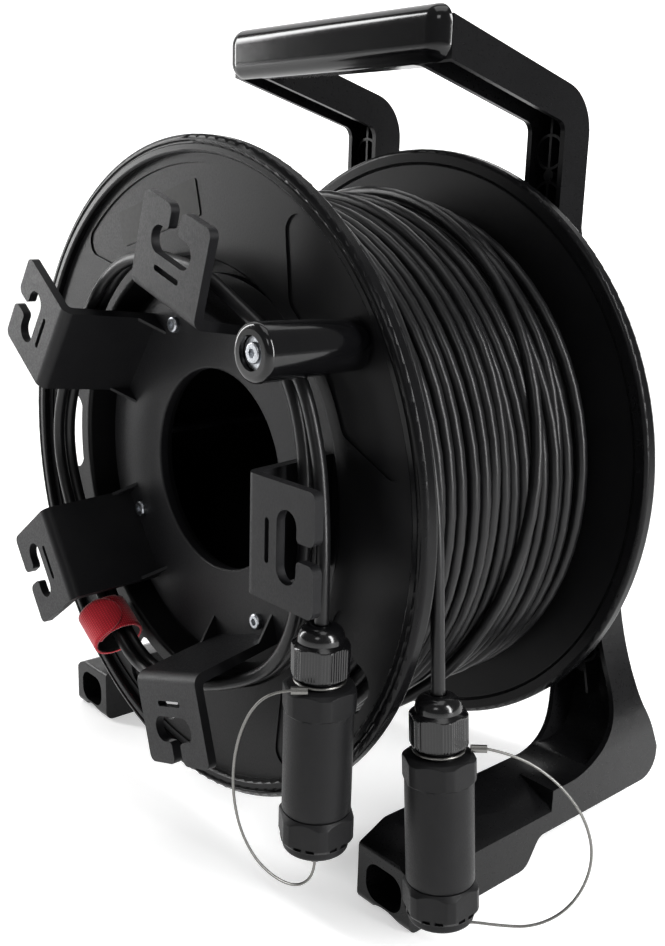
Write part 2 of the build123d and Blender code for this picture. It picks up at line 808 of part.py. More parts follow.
with BuildPart() as cable_winding:
    with BuildSketch(radial_plane(0)):
        with BuildLine():
            Polyline(
                (winding_bore, winding_front),
                (winding_low_radius, winding_front),
                (winding_radius, winding_slope_end),
                (winding_radius, winding_back),
                (winding_bore, winding_back),
                close=True,
            )
        make_face()
    revolve(axis=drum_axis)
finish(cable_winding, "cable_winding")


def cord_path(points, diameter, name):
    """Straight runs joined by tangent arcs, each as large as its two runs allow."""
    corners = [Vector(*point) for point in points]
    runs = [corners[k + 1] - corners[k] for k in range(len(corners) - 1)]
    radii = []
    for before, after in zip(runs, runs[1:]):
        half_turn = radians(before.get_angle(after)) / 2
        radii.append(0.45 * min(before.length, after.length) / tan(half_turn))
    turns = [before.get_angle(after) for before, after in zip(runs, runs[1:])]
    ratios = [max(a.length / b.length, b.length / a.length) for a, b in zip(runs, runs[1:])]
    print(
        f"{name}: least radius {min(radii) / diameter:.1f} diameters at {radii.index(min(radii)) + 1},"
        f" largest turn {max(turns):.0f} degrees, largest ratio {max(ratios):.2f},"
        f" longest run {max(r.length for r in runs):.0f}"
    )
    print(name, "radii", [round(radius, 1) for radius in radii])
    return FilletPolyline(*corners, radius=radii)


def cord(points, diameter, name):
    """A round tube along a cord's route."""
    with BuildPart() as tube:
        with BuildLine() as route:
            cord_path(points, diameter, name)
        wire = route.wire()
        with BuildSketch(Plane(origin=wire @ 0, z_dir=wire % 0)):
            Circle(diameter / 2)
        sweep(path=wire)
    length = wire.length
    section = pi * diameter**2 / 4
    print(f"{name}: length {length:.1f} mm, volume share {tube.part.volume / (section * length):.4f}")
    finish(tube, name)


storage_pitch = 5.9  # forward per turn round the brackets
corner_loop_radius = 101
span_loop_radius = 105
first_loop_depth = -3.8
travel_from = 33


def loop_point(angle, radius):
    """A point of the turns laid round the brackets, which move forward as they go."""
    return polar(angle, radius, first_loop_depth - storage_pitch * (travel_from - angle) / 360)


bracket_corner = 16
turns_round = []
for bracket in range(10):
    middle = -72 * bracket
    if bracket < 9:
        turns_round.append(loop_point(middle + bracket_corner, corner_loop_radius + (bracket % 3) * 0.3))
        turns_round.append(loop_point(middle - bracket_corner, corner_loop_radius + (bracket % 2) * 0.4))
        turns_round.append(loop_point(middle - 36, span_loop_radius + (bracket % 4) * 0.5))
stored_plug_top = at(120.5, -20, -31.5)
stored_route = [
    polar(52, cable_outlet_radius, 28),
    polar(52, cable_outlet_radius, 9.6),
    polar(44.4, 98.4, -3),
    loop_point(31, 103.4),
    *turns_round,
    loop_point(-632, 101.4),
    loop_point(-648, 103.2),
    polar(56, 103, -14.6),
    polar(44, 108, -13.8),
    polar(33, 115, -13),
    polar(17.5, 114.6, -14),
    polar(4, 116.2, -16.6),
    at(120.5, -20, -11),
    stored_plug_top,
]
cord(stored_route, cable_diameter, "stored_cable")

running_plug_top = at(151.5, 15.5, -59.8)
running_route = [
    polar(84, 135.3, 36),
    polar(72, 135.3, 34),
    polar(60, 135.3, 31.5),
    polar(48, 135.4, 29),
    polar(37, 137, 25.5),
    at(125.5, 21.5, 60),
    at(138, 18.2, 34),
    at(145.5, 16.3, 6),
    at(148.88, 15.5, -29.9),
    running_plug_top,
]
cord(running_route, cable_diameter, "running_cable")

strap_angle = -118
strap_centre_radius = 104
strap_centre_depth = -9.2
strap_width = 20
strap_inner = (8, 9.8)
strap_thickness = 1.6

with BuildPart() as cable_strap:
    strap_turn = radians(strap_angle)
    strap_plane = Plane(
        polar(strap_angle, strap_centre_radius, strap_centre_depth),
        x_dir=(cos(strap_turn), 0, sin(strap_turn)),
        z_dir=(-sin(strap_turn), 0, cos(strap_turn)),
    )
    with BuildSketch(strap_plane):
        Ellipse(strap_inner[0] + strap_thickness, strap_inner[1] + strap_thickness)
        Ellipse(*strap_inner, mode=Mode.SUBTRACT)
    extrude(amount=strap_width / 2, both=True)
finish(cable_strap, "cable_strap")

# ---------------------------------------------------------------- plugs
gland_radius = 9.6
gland_rise = 7
nut_radius = 12
nut_end = 21.5
neck_radius = 9.5
neck_end = 25.2
shell_hex = 28  # across flats
shell_hex_end = 36
shell_radius = 14.2
shell_end = 80
insert_radius = 9
insert_front = 60
cap_bore = 11
cap_hex = 29
cap_hex_end = 93
cap_base_radius = 13.6
cap_end = 97
post_radius = 1.8
post_reach = 3.4
crimp_radius = 2.1
neck_crimp_radius = 1.6
ring_wire = 1.2
tether_diameter = 1.2

plugs = {
    "stored": {
        "top": stored_plug_top,
        "down": (0, 0, -1),
        "front": (0, -1, 0),
        "crimp_at": (5.3, -11.4, 0),
        "crimp_way": (-0.62, -0.78, 0),
        "end_way": (0, 0, -1),
        "route": [
            (-3, -21.5, -24),
            (-8.6, -26.6, -30.8),
            (-13.2, -29.4, -43),
            (-16.3, -30.2, -58),
            (-17.2, -29.2, -74),
            (-15.8, -26.2, -89.5),
            (-12.2, -20.8, -103),
            (-7.4, -13.2, -112.5),
            (-3, -5.6, -116.5),
            (0, 0, -111.5),
        ],
    },
    "running": {
        "top": running_plug_top,
        "down": (0.0873, 0, -0.9962),
        "front": (0, -1, 0),
        "crimp_at": (9.4, 9.2, 0.9),
        "crimp_way": (0.66, 0.75, 0),
        "end_way": (0.66, 0.75, 0),
        "route": [
            (20.9, 20.1, -24),
            (29.6, 29.4, -29.6),
            (38, 38.3, -40),
            (44.4, 44.9, -53.5),
            (47.2, 47.6, -69),
            (45.6, 44.9, -84),
            (40.6, 38.2, -95.5),
            (33, 28.5, -101.2),
            (24.6, 18.2, -100.4),
            (17.2, 9.7, -98.97),
        ],
    },
}

for name, plug in plugs.items():
    down = Vector(*plug["down"])
    top = Vector(*plug["top"])
    plug_plane = Plane(top, x_dir=plug["front"], z_dir=down)

    with BuildPart() as gland:
        with BuildSketch(plug_plane):
            Circle(gland_radius)
        extrude(amount=gland_rise)
        crown = gland.faces().sort_by(Axis(top, down))[0]
        fillet(crown.edges(), 5.5)
        with BuildSketch(plug_plane.offset(gland_rise)):
            RegularPolygon(nut_radius - 0.7, 6, major_radius=False)
            Circle(nut_radius, mode=Mode.INTERSECT)
        extrude(amount=nut_end - gland_rise)
        with BuildSketch(plug_plane.offset(nut_end)):
            Circle(neck_radius)
        extrude(amount=neck_end - nut_end)
        with BuildSketch(plug_plane.offset(neck_end)):
            Circle(insert_radius)
        extrude(amount=4)
    finish(gland, f"{name}_gland")

    with BuildPart() as shell:
        with BuildSketch(plug_plane.offset(neck_end)):
            RegularPolygon(shell_hex / 2, 6, major_radius=False)
        extrude(amount=shell_hex_end - neck_end)
        with BuildSketch(plug_plane.offset(neck_end)):
            Circle(shell_hex / 2 + 1.2)
        extrude(amount=shell_hex_end - neck_end, mode=Mode.INTERSECT)
        with BuildSketch(plug_plane.offset(shell_hex_end)):
            Circle(shell_radius)
        extrude(amount=shell_end - shell_hex_end)
        with BuildSketch(plug_plane.offset(shell_end)):
            Circle(cap_bore - seat_gap)
        extrude(amount=cap_hex_end - shell_end - 2)
        with BuildSketch(plug_plane.offset(neck_end)):
            Circle(insert_radius)
        extrude(amount=cap_hex_end - neck_end, mode=Mode.SUBTRACT)
    finish(shell, f"{name}_shell")

    with BuildPart() as insert:
        with BuildSketch(plug_plane.offset(insert_front)):
            Circle(insert_radius)
        extrude(amount=cap_hex_end - 4 - insert_front)
        with BuildSketch(plug_plane.offset(cap_hex_end - 9)):
            with GridLocations(7, 7, 2, 2):
                Circle(1.2)
        extrude(amount=5, mode=Mode.SUBTRACT)
    finish(insert, f"{name}_insert")

    with BuildPart() as cap:
        with BuildSketch(plug_plane.offset(shell_end)):
            RegularPolygon(cap_hex / 2, 6, major_radius=False)
            Circle(cap_hex / 2 + 1.4, mode=Mode.INTERSECT)
        extrude(amount=cap_hex_end - shell_end)
        with BuildSketch(plug_plane.offset(cap_hex_end)):
            Circle(cap_base_radius)
        extrude(amount=cap_end - cap_hex_end)
        base_edge = cap.faces().sort_by(Axis(top, down))[-1]
        fillet(base_edge.edges(), 1.2)
        with BuildSketch(plug_plane.offset(shell_end)):
            Circle(cap_bore)
        extrude(amount=cap_hex_end - 2 - shell_end + seat_gap, mode=Mode.SUBTRACT)
        with BuildSketch(plug_plane.offset(cap_end - 3)):
            Circle(post_radius + 0.06)
        extrude(amount=3, mode=Mode.SUBTRACT)
    finish(cap, f"{name}_cap")

    post_end = top + down * (cap_end + post_reach)
    with BuildPart() as swivel:
        with BuildSketch(plug_plane.offset(cap_end - 3 + seat_gap)):
            Circle(post_radius)
        extrude(amount=3 + post_reach - seat_gap)
        end_way = Vector(*plug["end_way"])
        crimp_start = post_end - down * crimp_radius * 0.5 - end_way * crimp_radius * 0.5
        with BuildSketch(Plane(crimp_start, z_dir=end_way)):
            Circle(crimp_radius)
        extrude(amount=6)
    finish(swivel, f"{name}_swivel")
    tether_end = crimp_start + end_way * 6

    with BuildPart() as neck_ring:
        ring_centre = top + down * (nut_end + neck_end) / 2
        ring_plane = Plane(ring_centre, x_dir=plug["front"], z_dir=down)
        with BuildSketch(Plane(ring_centre, x_dir=ring_plane.x_dir, z_dir=ring_plane.y_dir)):
            with Locations((neck_radius + ring_wire / 2 + 0.05, 0)):
                Circle(ring_wire / 2)
        revolve(axis=Axis(ring_centre, down))
    finish(neck_ring, f"{name}_ring")

    crimp_way = Vector(*plug["crimp_way"]).normalized()
    crimp_from = ring_centre + Vector(*plug["crimp_at"])
    with BuildPart() as crimp:
        with BuildSketch(Plane(crimp_from - crimp_way * 0.5, z_dir=crimp_way)):
            Circle(neck_crimp_radius)
        extrude(amount=6.5)
    finish(crimp, f"{name}_crimp")
    tether_start = crimp_from + crimp_way * 6

    wire_points = [tether_start] + [top + Vector(*point) for point in plug["route"]] + [tether_end]
    cord(wire_points, tether_diameter, f"{name}_tether")
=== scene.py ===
import json
from math import atan2, cos, pi, radians, sin

import bmesh
import bpy
from mathutils import Matrix, Vector


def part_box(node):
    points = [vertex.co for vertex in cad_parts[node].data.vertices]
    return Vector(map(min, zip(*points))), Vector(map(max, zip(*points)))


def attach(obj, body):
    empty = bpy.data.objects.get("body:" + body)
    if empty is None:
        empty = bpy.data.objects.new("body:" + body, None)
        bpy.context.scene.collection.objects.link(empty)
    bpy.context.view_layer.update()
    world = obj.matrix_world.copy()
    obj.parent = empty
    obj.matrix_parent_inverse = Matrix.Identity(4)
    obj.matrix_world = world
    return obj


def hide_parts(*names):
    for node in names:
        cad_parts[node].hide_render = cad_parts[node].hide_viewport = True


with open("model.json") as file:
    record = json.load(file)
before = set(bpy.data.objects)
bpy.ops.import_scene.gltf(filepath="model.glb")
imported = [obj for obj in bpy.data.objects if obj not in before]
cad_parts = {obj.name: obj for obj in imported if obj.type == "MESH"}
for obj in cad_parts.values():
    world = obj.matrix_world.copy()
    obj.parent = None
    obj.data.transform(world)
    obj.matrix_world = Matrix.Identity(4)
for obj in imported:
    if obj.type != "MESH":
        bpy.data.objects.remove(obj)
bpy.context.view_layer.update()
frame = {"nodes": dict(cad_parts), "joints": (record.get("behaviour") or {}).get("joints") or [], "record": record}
joints = {joint["name"]: joint for joint in frame["joints"]}
axisHeight = joints["drum_spin"]["pos_m"][2]
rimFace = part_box("front_flange")[0].y  # front of the drum's rim
mm = 0.001
print("frame loaded")


# places are given as on the drawing: across, behind the rim's face and above the drum's axis, in mm
def at(x, depth, rise):
    return Vector((x * mm, rimFace + depth * mm, axisHeight + rise * mm))


def polar(angle, radius, depth):
    return at(radius * cos(radians(angle)), depth, radius * sin(radians(angle)))


def linear(hexColour):
    parts = [int(hexColour[i:i + 2], 16) / 255 for i in (1, 3, 5)]
    return tuple(p / 12.92 if p <= 0.04045 else ((p + 0.055) / 1.055) ** 2.4 for p in parts) + (1,)


def addNode(tree, kind, settings, links=()):
    node = tree.nodes.new(kind)
    for name, value in settings.items():
        if isinstance(name, int) or name in node.inputs:
            node.inputs[name].default_value = value
        else:
            setattr(node, name, value)
    for socket, source in links:
        tree.links.new(source, node.inputs[socket])
    return node


def newMaterial(name, surface):
    material = bpy.data.materials.new(name)
    material.use_nodes = True
    tree = material.node_tree
    tree.nodes.clear()
    shader = addNode(tree, "ShaderNodeBsdfPrincipled", surface)
    addNode(tree, "ShaderNodeOutputMaterial", {}, [("Surface", shader.outputs[0])])
    place = addNode(tree, "ShaderNodeTexCoord", {}).outputs["Object"]
    return material, tree, shader, place


def mouldedPlastic(name, look):
    # a moulded skin: fine spark-eroded grain, slow sink marks, and a little dust and handling in the gloss
    material, tree, shader, place = newMaterial(name, {"IOR": look.get("ior", 1.49),
                                                      "Specular IOR Level": look.get("specular", 0.34)})
    grain = addNode(tree, "ShaderNodeTexNoise", {"Scale": 1 / (look["grainMm"] * mm), "Detail": 3.0},
                    [("Vector", place)])
    sink = addNode(tree, "ShaderNodeTexNoise", {"Scale": 1 / (look["sinkMm"] * mm), "Detail": 1.0},
                   [("Vector", place)])
    scuff = addNode(tree, "ShaderNodeTexNoise", {"Scale": 1 / (28 * mm), "Detail": 6.0, "Roughness": 0.7},
                    [("Vector", place)])
    tone = addNode(tree, "ShaderNodeValToRGB", {}, [("Fac", scuff.outputs["Fac"])])
    tone.color_ramp.elements[0].position = 0.35
    tone.color_ramp.elements[0].color = linear(look["colour"])
    tone.color_ramp.elements[1].position = 0.7
    tone.color_ramp.elements[1].color = linear(look["paleColour"])
    speck = addNode(tree, "ShaderNodeMapRange",
                    {"From Min": 0.35, "From Max": 0.65, "To Min": look["roughness"] - look["spread"],
                     "To Max": look["roughness"] + look["spread"]}, [("Value", grain.outputs["Fac"])])
    rough = speck.outputs[0]
    if "polishedFrom" in look:
        # the rim is polished in the tool, so it is glossier than the grained disc
        spot = addNode(tree, "ShaderNodeVectorMath", {"operation": "SUBTRACT", 1: (0, 0, axisHeight)},
                       [(0, place)])
        flat = addNode(tree, "ShaderNodeVectorMath", {"operation": "MULTIPLY", 1: (1, 0, 1)},
                       [(0, spot.outputs[0])])
        radius = addNode(tree, "ShaderNodeVectorMath", {"operation": "LENGTH"}, [(0, flat.outputs[0])])
        polishedFrom = look["polishedFrom"]
        polish = addNode(tree, "ShaderNodeMapRange",
                         {"From Min": polishedFrom * mm, "From Max": (polishedFrom + 0.8) * mm},
                         [("Value", radius.outputs["Value"])])
        mixed = addNode(tree, "ShaderNodeMix", {"data_type": "FLOAT", "B": look["polishedRoughness"]},
                        [("Factor", polish.outputs[0]), ("A", rough)])
        rough = mixed.outputs["Result"]
        calm = addNode(tree, "ShaderNodeMapRange", {"To Min": look["grainStrength"], "To Max": 0.02},
                       [("Value", polish.outputs[0])])
    slow = addNode(tree, "ShaderNodeBump",
                   {"Strength": look["sinkStrength"], "Distance": look["sinkMm"] * mm * 0.05},
                   [("Height", sink.outputs["Fac"])])
    fine = addNode(tree, "ShaderNodeBump",
                   {"Strength": look["grainStrength"], "Distance": look["grainMm"] * mm * 0.1},
                   [("Height", grain.outputs["Fac"]), ("Normal", slow.outputs["Normal"])])
    if "polishedFrom" in look:
        tree.links.new(calm.outputs[0], fine.inputs["Strength"])
    tree.links.new(tone.outputs["Color"], shader.inputs["Base Color"])
    tree.links.new(rough, shader.inputs["Roughness"])
    tree.links.new(fine.outputs["Normal"], shader.inputs["Normal"])
    return material


def turnedMetal(name, look):
    # bright plated or stainless steel: metallic, with fine drawn or turned lines
    material, tree, shader, place = newMaterial(name, {"Metallic": 1.0})
    lines = addNode(tree, "ShaderNodeTexNoise", {"Scale": 1 / (look["lineMm"] * mm), "Detail": 4.0},
                    [("Vector", place)])
    tone = addNode(tree, "ShaderNodeValToRGB", {}, [("Fac", lines.outputs["Fac"])])
    tone.color_ramp.elements[0].color = linear(look["colour"])
    tone.color_ramp.elements[1].color = linear(look["paleColour"])
    rough = addNode(tree, "ShaderNodeMapRange",
                    {"To Min": look["roughness"] - 0.08, "To Max": look["roughness"] + 0.1},
                    [("Value", lines.outputs["Fac"])])
    tree.links.new(tone.outputs["Color"], shader.inputs["Base Color"])
    tree.links.new(rough.outputs[0], shader.inputs["Roughness"])
    return material


looks = {
    # polypropylene from a spark-eroded tool: dull, speckled, a soft sheen and a polished rim
    "flange": {"colour": "#09090a", "paleColour": "#0e0e0f", "roughness": 0.42, "spread": 0.06,
               "grainMm": 1.0, "grainStrength": 0.35, "sinkMm": 90, "sinkStrength": 0.03, "polishedFrom": 146,
               "polishedRoughness": 0.26, "specular": 0.13},
    # glass-filled nylon brackets: greyer, with an even fine grain
    "bracket": {"colour": "#111113", "paleColour": "#181819", "roughness": 0.44, "spread": 0.07,
                "grainMm": 0.9, "grainStrength": 0.6, "sinkMm": 30, "sinkStrength": 0.1, "ior": 1.53,
                "specular": 0.15},
    # polypropylene from a smoother tool: satin black
    "stand": {"colour": "#09090a", "paleColour": "#0d0d0e", "roughness": 0.3, "spread": 0.03, "grainMm": 1.2,
              "grainStrength": 0.1, "sinkMm": 70, "sinkStrength": 0.1, "specular": 0.2},
    # polished mould: a near mirror black with slow sink marks
    "gloss": {"colour": "#070708", "paleColour": "#0a0a0b", "roughness": 0.13, "spread": 0.01, "grainMm": 2.5,
              "grainStrength": 0.02, "sinkMm": 60, "sinkStrength": 0.07, "specular": 0.4},
    # extruded polyurethane jacket: satin, faintly mottled
    "jacket": {"colour": "#0c0c0d", "paleColour": "#121213", "roughness": 0.33, "spread": 0.05,
               "grainMm": 1.2, "grainStrength": 0.15, "sinkMm": 18, "sinkStrength": 0.12, "ior": 1.5,
               "specular": 0.26},
    # nylon plug bodies: matt with a coarse erosion grain
    "plug": {"colour": "#0e0e0f", "paleColour": "#151516", "roughness": 0.44, "spread": 0.06, "grainMm": 0.8,
             "grainStrength": 0.7, "sinkMm": 14, "sinkStrength": 0.1, "ior": 1.53, "specular": 0.15},
    # nylon gland: polished dome
    "gland": {"colour": "#080809", "paleColour": "#0c0c0d", "roughness": 0.17, "spread": 0.03, "grainMm": 1.0,
              "grainStrength": 0.1, "sinkMm": 12, "sinkStrength": 0.1, "ior": 1.53, "specular": 0.42},
    # satin label film, left blank
    "label": {"colour": "#0e0e0b", "paleColour": "#131310", "roughness": 0.4, "spread": 0.03, "grainMm": 2.0,
              "grainStrength": 0.03, "sinkMm": 20, "sinkStrength": 0.1, "specular": 0.1},
    # hook side of the tape: dull black nylon
    "hookTape": {"colour": "#101010", "paleColour": "#1c1c1c", "roughness": 0.7, "spread": 0.1,
                 "grainMm": 0.9, "grainStrength": 0.9, "sinkMm": 6, "sinkStrength": 0.2},
    # natural acetal bush
    "bush": {"colour": "#c9c7bf", "paleColour": "#d6d4cb", "roughness": 0.35, "spread": 0.05, "grainMm": 1.0,
             "grainStrength": 0.1, "sinkMm": 14, "sinkStrength": 0.1, "ior": 1.48},
}
metals = {
    "zinc": {"colour": "#8d9095", "paleColour": "#babdc1", "roughness": 0.28, "lineMm": 0.5},
    "stainless": {"colour": "#4e4e4c", "paleColour": "#8c8b88", "roughness": 0.34, "lineMm": 0.4},
}
mouldedFlange = mouldedPlastic("mouldedPpGrained", looks["flange"])
mouldedBracket = mouldedPlastic("mouldedNylonBracket", looks["bracket"])
mouldedStand = mouldedPlastic("mouldedPpSatin", looks["stand"])
polishedPlastic = mouldedPlastic("mouldedPpPolished", looks["gloss"])
cableJacket = mouldedPlastic("extrudedPurJacket", looks["jacket"])
plugNylon = mouldedPlastic("mouldedNylonPlug", looks["plug"])
glandNylon = mouldedPlastic("mouldedNylonGland", looks["gland"])
labelFilm = mouldedPlastic("blankLabelFilm", looks["label"])
hookTape = mouldedPlastic("hookSideTape", looks["hookTape"])
acetalBush = mouldedPlastic("turnedAcetal", looks["bush"])
zincSteel = turnedMetal("zincPlatedSteel", metals["zinc"])
stainlessWire = turnedMetal("stainlessWire", metals["stainless"])
print("materials made")

finishes = {
    "front_flange": mouldedFlange, "rear_flange": mouldedFlange, "drum_core": mouldedFlange,
    "hook_plate": mouldedBracket, "side_left": mouldedStand, "side_right": mouldedStand,
    "handle_grip": polishedPlastic, "crank_handle": polishedPlastic, "hub_bush": acetalBush,
    "label_plate": labelFilm,
}
for name, piece in frame["nodes"].items():
    if name in finishes:
        finish = finishes[name]
    elif name.endswith("_gland"):
        finish = glandNylon
    elif name.endswith(("_shell", "_cap", "_insert")):
        finish = plugNylon
    elif name.endswith(("_ring", "_crimp", "_swivel", "_tether")):
        finish = stainlessWire
    else:
        finish = zincSteel
    piece.data.materials.clear()
    piece.data.materials.append(finish)


bodyOf = {node: body for body, nodes in frame["record"]["behaviour"]["bodies"].items() for node in nodes}


def finishMesh(name, shape, material, body, nodes=()):
    mesh = bpy.data.meshes.new(name)
    shape.to_mesh(mesh)
    shape.free()
    mesh.materials.append(material)
    mesh.shade_smooth()
    mesh.set_sharp_from_angle(angle=radians(34))
    piece = bpy.data.objects.new(name, mesh)
    bpy.context.scene.collection.objects.link(piece)
    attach(piece, body)
    if nodes:
        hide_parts(*nodes)
    return piece


def roundEdges(node, width, steps=2):
    # a copy of the part with its sharp outer edges rounded as the mould leaves them
    shape = bmesh.new()
    shape.from_mesh(frame["nodes"][node].data)
    bmesh.ops.remove_doubles(shape, verts=shape.verts, dist=0.004 * mm)
    bmesh.ops.dissolve_limit(shape, angle_limit=radians(0.6), verts=shape.verts, edges=shape.edges)
    sharp = [edge for edge in shape.edges if edge.is_manifold and edge.calc_face_angle(0) > radians(38)]
    bmesh.ops.bevel(shape, geom=sharp, offset=width * mm, offset_type="OFFSET", segments=steps, profile=0.5,
                    affect="EDGES", clamp_overlap=True, material=-1)
    piece = finishMesh(node + "_moulded", shape, frame["nodes"][node].data.materials[0], bodyOf[node], [node])
    weighted = piece.modifiers.new("weightedNormals", "WEIGHTED_NORMAL")
    weighted.keep_sharp = True
    return piece


edgeWidths = {"hook_plate": 0.9, "side_left": 1.3, "side_right": 1.3}
for node, width in edgeWidths.items():
    roundEdges(node, width)
    print("edges rounded on", node)


cameraData = bpy.data.cameras.new("viewCamera")
camera = bpy.data.objects.new("viewCamera", cameraData)
bpy.context.scene.collection.objects.link(camera)
cameraAxes = Matrix((
    (0.658256, -0.203974, 0.724633),
    (0.752200, 0.139998, -0.643891),
    (0.029889, 0.968914, 0.245584),
))
camera.matrix_world = Matrix.Translation((0.42563, -0.36333, 0.30801)) @ cameraAxes.to_4x4()
cameraData.lens = 42.27
bpy.context.scene.camera = camera


def makeCord(name, points, diameter, material, body, nodes, sides=3, smooth=4):
    curve = bpy.data.curves.new(name, "CURVE")
    curve.dimensions = "3D"
    curve.bevel_depth = diameter / 2 * mm
    curve.bevel_resolution = sides
    curve.resolution_u = smooth
    curve.use_fill_caps = True
    spline = curve.splines.new("NURBS")
    spline.points.add(len(points) - 1)
    for place, point in zip(points, spline.points):
        point.co = (*place, 1)
    spline.order_u = 3
    spline.use_endpoint_u = True
    curve.materials.append(material)
    piece = bpy.data.objects.new(name, curve)
    bpy.context.scene.collection.objects.link(piece)
    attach(piece, body)
    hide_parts(*nodes)
    return piece


cable = {"diameter": 5.8, "storagePitch": 5.9, "loopDepth": -3.8, "travelFrom": 33}
windingLook = {
    "firstRadius": 110.2, "layerStep": 5.97, "layers": 4, "backDepth": 139.6, "pitch": 5.95,
    "frontDepths": (12.2, 17.8, 23.6, 30), "pointsPerTurn": 20,
    # spacing of the top layer's turns, from the front: some lie tight, some leave a gap
    "topPitches": (6.4, 7.4, 6.6, 7.4, 7.2, 6.6, 6.0, 5.9, 6.4, 6.0, 7.6, 6.4, 5.9, 6.2, 11.5),
    # the last turns cross the others: degrees before the end, radius, depth
    "tail": (
        (640, 128.1, 133.5), (520, 128.6, 132.5), (470, 130.5, 126), (410, 133.9, 117), (360, 134.2, 111),
        (310, 134.3, 103), (270, 134.3, 90), (230, 134.3, 72), (190, 134.3, 56), (140, 134.2, 44),
        (90, 134.2, 38), (40, 134.8, 36.2), (0, 135.3, 36),
    ),
    "endAngle": 84,
}


def loopPoint(angle, radius):
    turned = cable["travelFrom"] - angle
    return polar(angle, radius, cable["loopDepth"] - cable["storagePitch"] * turned / 360)


def windingRoute(look):
    # layers run to the front and to the back in turn
    # in the top layer, a turn that crowds its neighbour climbs over it
    perTurn = look["pointsPerTurn"]
    step = 360 / perTurn
    places = []
    for layer in range(look["layers"] - 1):
        front = look["frontDepths"][layer]
        turns = round((look["backDepth"] - front) / look["pitch"])
        for k in range(turns * perTurn):
            share = k / (turns * perTurn)
            if layer % 2 == 0:
                share = 1 - share
            depth = front + (look["backDepth"] - front) * share
            places.append((look["firstRadius"] + layer * look["layerStep"], depth))
    topRadius = look["firstRadius"] + (look["layers"] - 1) * look["layerStep"]
    depth = look["frontDepths"][-1]
    below = []
    for turn, pitch in enumerate(look["topPitches"]):
        for k in range(perTurn):
            around = radians(k * step)
            ease = min(1, turn / 2) * min(1, (len(look["topPitches"]) - turn) / 2)
            wander = ease * (1.1 * sin(around + turn * 1.9) + 0.7 * sin(2 * around + turn * 0.8))
            spot = depth + pitch * k / perTurn + wander
            radius = topRadius
            if len(below) >= perTurn:
                besideRadius, besideDepth = below[-perTurn]
                gap = abs(spot - besideDepth)
                if gap < cable["diameter"]:
                    climb = (cable["diameter"] ** 2 - gap ** 2) ** 0.5 - 0.6
                    if besideRadius - climb < topRadius and climb > 0:
                        radius = besideRadius + climb
            below.append((min(radius, topRadius + 4.5), spot))
        depth += pitch
    places += below
    tail = look["tail"]
    tailCount = round(tail[0][0] / step)
    for k in range(tailCount + 1):
        before = tail[0][0] * (1 - k / tailCount)
        for (degreesA, radiusA, depthA), (degreesB, radiusB, depthB) in zip(tail, tail[1:]):
            if degreesB <= before <= degreesA:
                share = (degreesA - before) / (degreesA - degreesB)
                places.append((radiusA + (radiusB - radiusA) * share, depthA + (depthB - depthA) * share))
                break
    last = len(places) - 1
    return [polar(look["endAngle"] + (last - k) * step, radius, depth)
            for k, (radius, depth) in enumerate(places)]


windingPoints = windingRoute(windingLook)
winding = makeCord("wound_cable", windingPoints, cable["diameter"], cableJacket, "drum",
                   ["cable_winding"], sides=3, smooth=3)

turnsRound = []
for bracket in range(9):
    middle = -72 * bracket
    strapped = 5 if bracket % 5 == 1 else 0  # the turns sag outwards where the strap holds them
    turnsRound.append(loopPoint(middle + 16, 101 + (bracket % 3) * 0.3))
    turnsRound.append(loopPoint(middle - 16, 101 + (bracket % 2) * 0.4 + strapped * 0.5))
    turnsRound.append(loopPoint(middle - 36, 105 + (bracket % 4) * 0.5 + strapped))
storedTop = at(120.5, -20, -31.5)
storedRoute = [
    polar(52, 97.6, 28), polar(52, 97.6, 9.6), polar(44.4, 98.4, -3), loopPoint(31, 103.4),
    *turnsRound,
    loopPoint(-632, 101.4), loopPoint(-648, 103.2), polar(56, 103, -14.6), polar(44, 108, -13.8),
    polar(33, 115, -13), polar(17.5, 114.6, -14), polar(4, 116.2, -16.6), at(120.5, -20, -11), storedTop,
]
runningTop = at(151.5, 15.5, -59.8)
runningRoute = [
    polar(84, 135.3, 36), polar(72, 135.3, 34), polar(60, 135.3, 31.5), polar(48, 135.4, 29),
    polar(37, 137, 25.5),
    at(125.5, 21.5, 60), at(138, 18.2, 34), at(145.5, 16.3, 6), at(148.88, 15.5, -29.9), runningTop,
]

# each plug is turned from one ring of points, pushed down its axis; stations are mm below the cable's exit
plugLook = {
    "dome": ((1.2, 3), (0.4, 3.15), (0, 3.9), (0.15, 5.2), (0.8, 6.8), (1.9, 8.2),
             (3.3, 9.1), (5, 9.5), (6.6, 9.6)),
    "nutFlats": 22.6, "nutCorner": 12, "nutFrom": 6.8, "nutTo": 21.5, "nutRibs": 60, "ribDeep": 0.22,
    "neckRadius": 9.5, "neckTo": 25.2,
    "hexFlats": 28, "hexCorner": 15.1, "hexTo": 36, "bodyRadius": 14.2, "bodyTo": 79.8,
    "capFlats": 29, "capCorner": 15.8, "capFrom": 80.1, "capHexTo": 93, "baseRadius": 13.6, "capTo": 97,
    "slotFrom": 91.2, "slotTo": 92.6, "slotDeep": 1.3,
}


def flatReach(angle, flats):
    # distance to a hexagon's side, with a corner towards angle 0
    return flats / 2 / cos((angle % (pi / 3)) - pi / 6)


def glandReach(angle, station):
    look = plugLook
    if station <= look["dome"][-1][0]:
        return None
    if station > look["nutTo"]:
        return look["neckRadius"]
    chamfer = 9.8 + 1.5 * min(station - look["nutFrom"] + 0.1, look["nutTo"] - station + 0.5)
    reach = min(flatReach(angle, look["nutFlats"]), look["nutCorner"], chamfer)
    rib = 0.5 + 0.5 * cos(look["nutRibs"] * angle)
    return reach - look["ribDeep"] * rib * min(1, max(0, chamfer - reach))


